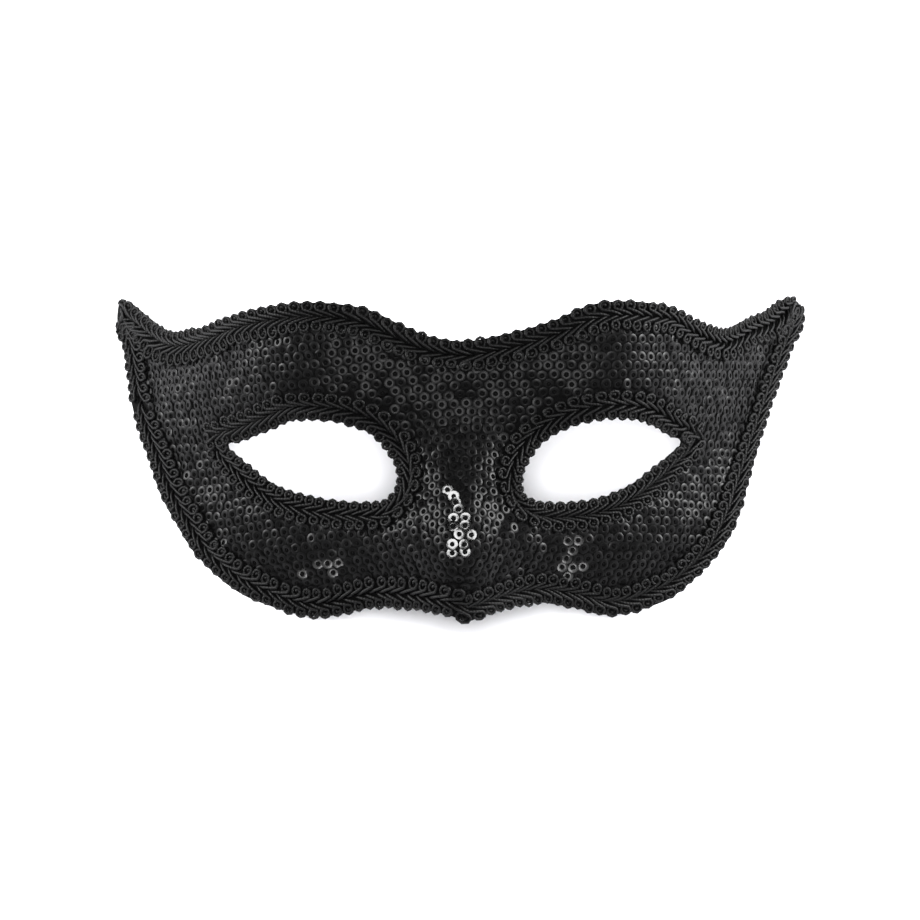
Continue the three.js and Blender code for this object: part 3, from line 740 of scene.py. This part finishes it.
sequins = {
    'diameter': 3.0,
    'pitch': 3.0,
    'rowPitch': 2.31,
    'sides': 12,
    'tilt': 8.5,                    # degrees, top edge outwards
    'tiltSpread': 6.0,
    'scatter': 0.12,
    'above': 0.42,                  # the disc's middle over the cloth
    'aboveSpread': 0.03,
    'level': 20.0,                  # the rows are counted along the surface from here
    'rowTurn': 6.5,                 # degrees, how the rows rise over the left half
    'rowTurnEnd': 15.0,             # millimetres, how softly they level out to the right
    'anchor': 20.0,                 # the rows are evened out between here and here
    'underBraid': 1.4,              # how far sequins reach under the braid's inner edge
    'steepGap': 1.2,                # less far at the steep sides
    'eyeGap': 1.1,                  # and above the eyes
    'missing': 0.001,               # share of sequins that came off
    'tone': 0.0018,
    'specular': (0.08, 0.5),        # of plain and of polished ones
    'roughness': (0.38, 0.12),
    'scratchScale': 1400.0,         # noise, per metre
    'bump': (0.12, 0.0001),         # strength and metres
    'flatter': 0.85,                # how much flatter the polished ones are
    'aimSpread': 0.03,
    'knot': 0.24,                   # radius of the sewing knot in each hole
    'knotSides': 6,
    'aimed': [      # discs turned another way: across, up; half sizes; share; facing; pull; polish
        ((-2.1, -9.5), (2.1, 2.3), 1.0, (0, 0.26, 0.966), 1.0, 1.0),
        ((0.0, -19.2), (3.1, 6.4), 0.92, (0, 0.26, 0.966), 1.0, 1.0),
        ((-34.5, -28.0), (7.5, 4.8), 0.42, (0, 0.26, 0.966), 0.75, 0.3),
        ((28.5, -25.0), (5.0, 5.5), 0.42, (0, 0.26, 0.966), 0.75, 0.3),
        ((-19.5, 35.0), (2.5, 2.0), 0.8, (0, -0.8, 0.6), 0.4, 0.0),
        ((0.5, 18.0), (3.5, 1.8), 0.6, (0, -0.8, 0.6), 0.4, 0.0),
        ((13.0, -18.0), (3.4, 4.5), 0.8, (0, -0.8, 0.6), 0.45, 0.0),
        ((1.0, -31.5), (2.6, 5.0), 0.7, (0, -0.8, 0.6), 0.45, 0.0),
    ],
}

# a disc's section, as shares of its half width and height in millimetres: the hole's edge,
# the crest, the slope, the rim, and the back
discSection = np.array([(0.42, 0.12), (0.56, 0.17), (0.80, 0.13), (1.00, 0.04), (0.70, 0.06)])


def sequinPlaces():
    # rows are lines of equal length along the surface from a level of the brow, less
    # t (x - sqrt(x^2 + e^2)) / 2, so that they rise on the left; in each row the sequins
    # are set out by length along the surface
    step = 0.5
    across = np.arange(-92, 92.1, step)
    up = np.arange(-44, 44.1, step)
    gridX, gridY = np.meshgrid(across, up, indexing='ij')
    slope = np.gradient(faceOut(gridX, gridY), step, axis=1)
    climb = np.cumsum(np.sqrt(1 + slope ** 2) * step, axis=1)
    climb = climb - climb[:, [np.abs(up - sequins['level']).argmin()]]
    climb = climb - math.tan(math.radians(sequins['rowTurn'])) * (
        gridX - np.sqrt(gridX ** 2 + sequins['rowTurnEnd'] ** 2)) / 2
    rows = np.arange(-62, 62)       # more than the face has
    pitch = sequins['pitch']
    places, slopes = [], []
    rowUp = np.stack([np.interp(rows * sequins['rowPitch'], column, up, left=np.nan, right=np.nan)
                      for column in climb], axis=1)
    for row, ups in zip(rows, rowUp):
        known = ~np.isnan(ups)
        if known.sum() < 8:
            continue
        xs, ys = across[known], ups[known]
        breaks = np.flatnonzero(np.diff(xs) > 1.2 * step) + 1   # the row leaves the face here
        for pieceX, pieceY in zip(np.split(xs, breaks), np.split(ys, breaks)):
            if len(pieceX) < 4:
                continue
            lengths = lengthsAlong(np.stack([pieceX, pieceY, faceOut(pieceX, pieceY)], axis=1))
            phase = 0.5 * (row % 2) * pitch
            ends = np.interp([-sequins['anchor'], sequins['anchor']], pieceX, lengths)
            start, stop = ends[0] - phase, ends[1] + phase
            leftOnes = np.arange(start - pitch, 0, -pitch)
            rightOnes = np.arange(stop + pitch, lengths[-1], pitch)
            if pieceX[0] < -sequins['anchor'] and pieceX[-1] > sequins['anchor']:
                between = np.linspace(start, stop, int(round((stop - start) / pitch)) + 1)
                wanted = np.concatenate([leftOnes, between, rightOnes])
            else:
                wanted = leftOnes if pieceX[-1] < 0 else rightOnes
            places.append(np.stack([np.interp(wanted, lengths, pieceX),
                                    np.interp(wanted, lengths, pieceY)], axis=1))
            slopes.append(np.interp(wanted, lengths, np.gradient(pieceY, pieceX)))
    return np.vstack(places), np.concatenate(slopes)


def insideOf(places, line):         # even-odd rule: crossings of a ray to the right
    a, b = line, np.roll(line, -1, axis=0)
    x, y = places[:, :1], places[:, 1:]
    crosses = (a[:, 1] > y) != (b[:, 1] > y)
    with np.errstate(divide='ignore', invalid='ignore'):
        hit = a[:, 0] + (y - a[:, 1]) / (b[:, 1] - a[:, 1]) * (b[:, 0] - a[:, 0])
    return (crosses & (x < hit)).sum(axis=1) % 2 == 1


def nearestTo(points, line):        # least distance in space to a line on the surface
    onFace = facePoint(*line.T)
    return np.sqrt(((points[:, None] - onFace[None]) ** 2).sum(axis=2)).min(axis=1)


places, rowSlope = sequinPlaces()
points = facePoint(*places.T)
steep = 1 - smooth(faceNormal(*places.T)[:, 2], 0.5, 0.9)
clear = braid['width'] - sequins['underBraid'] + sequins['steepGap'] * steep
keep = insideOf(places, outline) & (nearestTo(points, outline) > clear)
aboveEyes = smooth(places[:, 1], 0, 8)
clear = braid['eyeWidth'] - sequins['underBraid'] + sequins['eyeGap'] * aboveEyes
for line in eyeLines.values():
    keep &= ~insideOf(places, line) & (nearestTo(points, line) > clear)
keep &= chance.uniform(0, 1, len(places)) > sequins['missing']
places, rowSlope = places[keep], rowSlope[keep]
places = places + chance.normal(0, sequins['scatter'], places.shape)
print('sequins', len(places))


def discAxes(places, rowSlope):
    # each disc's own axes: along the row, up the surface and out, tipped about the row so
    # that its top edge stands out; some are pulled to face another way
    count = len(places)
    normal = faceNormal(*places.T)
    ahead = np.stack([places[:, 0] + probe, places[:, 1] + probe * rowSlope], axis=1)
    along = facePoint(*ahead.T) - facePoint(*places.T)
    along -= normal * (along * normal).sum(axis=1, keepdims=True)
    along /= np.linalg.norm(along, axis=1, keepdims=True)
    tilt = np.radians(sequins['tilt'] + chance.normal(0, sequins['tiltSpread'], count))[:, None]
    roll = np.radians(chance.normal(0, sequins['tiltSpread'], count))[:, None]
    out = normal * np.cos(tilt) - np.cross(normal, along) * np.sin(tilt)
    out = out * np.cos(roll) - along * np.sin(roll)
    polish = np.zeros(count)
    for place, reach, share, facing, pull, shine in sequins['aimed']:
        there = (((places - place) / reach) ** 2).sum(axis=1) < 1
        there &= chance.uniform(0, 1, count) < share
        towards = np.array(facing) + chance.normal(0, sequins['aimSpread'], (count, 3))
        out = np.where(there[:, None], out * (1 - pull) + towards * pull, out)
        polish = np.where(there, shine, polish)
    out /= np.linalg.norm(out, axis=1, keepdims=True)
    along -= out * (along * out).sum(axis=1, keepdims=True)
    along /= np.linalg.norm(along, axis=1, keepdims=True)
    return along, np.cross(out, along), out, polish


def ringsRound(centres, axes, radii, heights, sides, start):
    # rings of points round each centre: centre + r (cos f along + sin f up) + h out, with
    # a row of heights for each centre
    angle = np.arange(sides) * 2 * np.pi / sides + start[:, None]
    x = radii[None, :, None] * np.cos(angle)[:, None]
    y = radii[None, :, None] * np.sin(angle)[:, None]
    along, up, out = (axis[:, None, None] for axis in axes)
    return (centres[:, None, None] + x[..., None] * along + y[..., None] * up
            + heights[..., None, None] * out)


def addSequins(name, places, rowSlope):     # one half's discs; gives back their sewing knots
    count = len(places)
    *axes, polish = discAxes(places, rowSlope)
    above = sequins['above'] + chance.normal(0, sequins['aboveSpread'], count)
    centres = facePoint(*places.T, above)
    spin = chance.uniform(0, 2 * np.pi, count)
    sides = sequins['sides']
    radii = discSection[:, 0] * sequins['diameter'] / 2
    heights = discSection[:, 1] * (1 - sequins['flatter'] * polish[:, None])
    points = ringsRound(centres, axes, radii, heights, sides, spin)
    rings = len(radii)
    ring = np.arange(rings)[:, None]
    side = np.arange(sides)
    after = (side + 1) % sides
    nextRing = (ring + 1) % rings * sides
    ring = ring * sides
    quads = np.stack([ring + side, nextRing + side, nextRing + after, ring + after], axis=-1)
    firsts = np.arange(count)[:, None, None] * rings * sides
    quads = (quads.reshape(1, -1, 4) + firsts).reshape(-1, 4)
    values = {'shade': chance.uniform(0, 1, count), 'polish': polish}
    values = {key: np.repeat(column, rings * sides) for key, column in values.items()}
    piece = addPiece('sequins_' + name, toRest(points.reshape(-1, 3)), [quads],
                     sequinMaterial, values=values)
    piece.data.set_sharp_from_angle(angle=math.radians(50))

    # a low knot in each hole: a base, two rings and a top, as a fan of triangles
    sides = sequins['knotSides']
    radii = sequins['knot'] * np.array([1.0, 0.75, 0.0])
    heights = np.tile([-0.05, 0.12, 0.2], (count, 1))
    knotPoints = ringsRound(centres, axes, radii, heights, sides, spin)
    knotRings, knotTops = knotPoints[:, :2].reshape(count, -1, 3), knotPoints[:, 2, :1]
    knotPoints = np.concatenate([knotRings, knotTops], axis=1)
    side = np.arange(sides)
    after = (side + 1) % sides
    firsts = np.arange(count)[:, None, None] * (2 * sides + 1)
    walls = (np.stack([side, after, after + sides, side + sides], axis=1) + firsts).reshape(-1, 4)
    top = np.full(sides, 2 * sides)
    caps = (np.stack([side + sides, after + sides, top], axis=1) + firsts).reshape(-1, 3)
    bases = (side[::-1] + firsts[:, 0]).reshape(-1, sides)
    return toRest(knotPoints.reshape(-1, 3)), walls, caps, bases


sequinMaterial, tree, shader = newMaterial('blackSequins', {})
coords = addNode(tree, 'ShaderNodeTexCoord').outputs['Object']
ownShade = addNode(tree, 'ShaderNodeAttribute', attribute_name='shade').outputs['Fac']
polished = addNode(tree, 'ShaderNodeAttribute', attribute_name='polish').outputs['Fac']
scratch = noiseOf(tree, coords, sequins['scratchScale'])
blend = mathOf(tree, 'MULTIPLY', ownShade, scratch)
tone = sequins['tone']
tree.links.new(rampOf(tree, blend, [(0.0, grey(tone * 0.6)), (0.8, grey(tone * 2.0))]),
               shader.inputs['Base Color'])
plainOrPolished = rangeOf(tree, polished, *sequins['roughness'])
rough = mathOf(tree, 'MULTIPLY', rangeOf(tree, scratch, 0.9, 1.1), plainOrPolished)
tree.links.new(rough, shader.inputs['Roughness'])
tree.links.new(rangeOf(tree, polished, *sequins['specular']), shader.inputs['Specular IOR Level'])
addBump(tree, shader, scratch, *sequins['bump'])

knots = []
for name, part in (('left', places[:, 0] < 0), ('right', places[:, 0] >= 0)):
    knots.append(addSequins(name, places[part], rowSlope[part]))
knotPoints, *knotFaces = zip(*knots)
offset = len(knotPoints[0])         # the right half's points follow the left half's
addPiece('sequin_knots', np.vstack(knotPoints),
         [np.vstack([left, right + offset]) for left, right in knotFaces],
         clothMaterial)
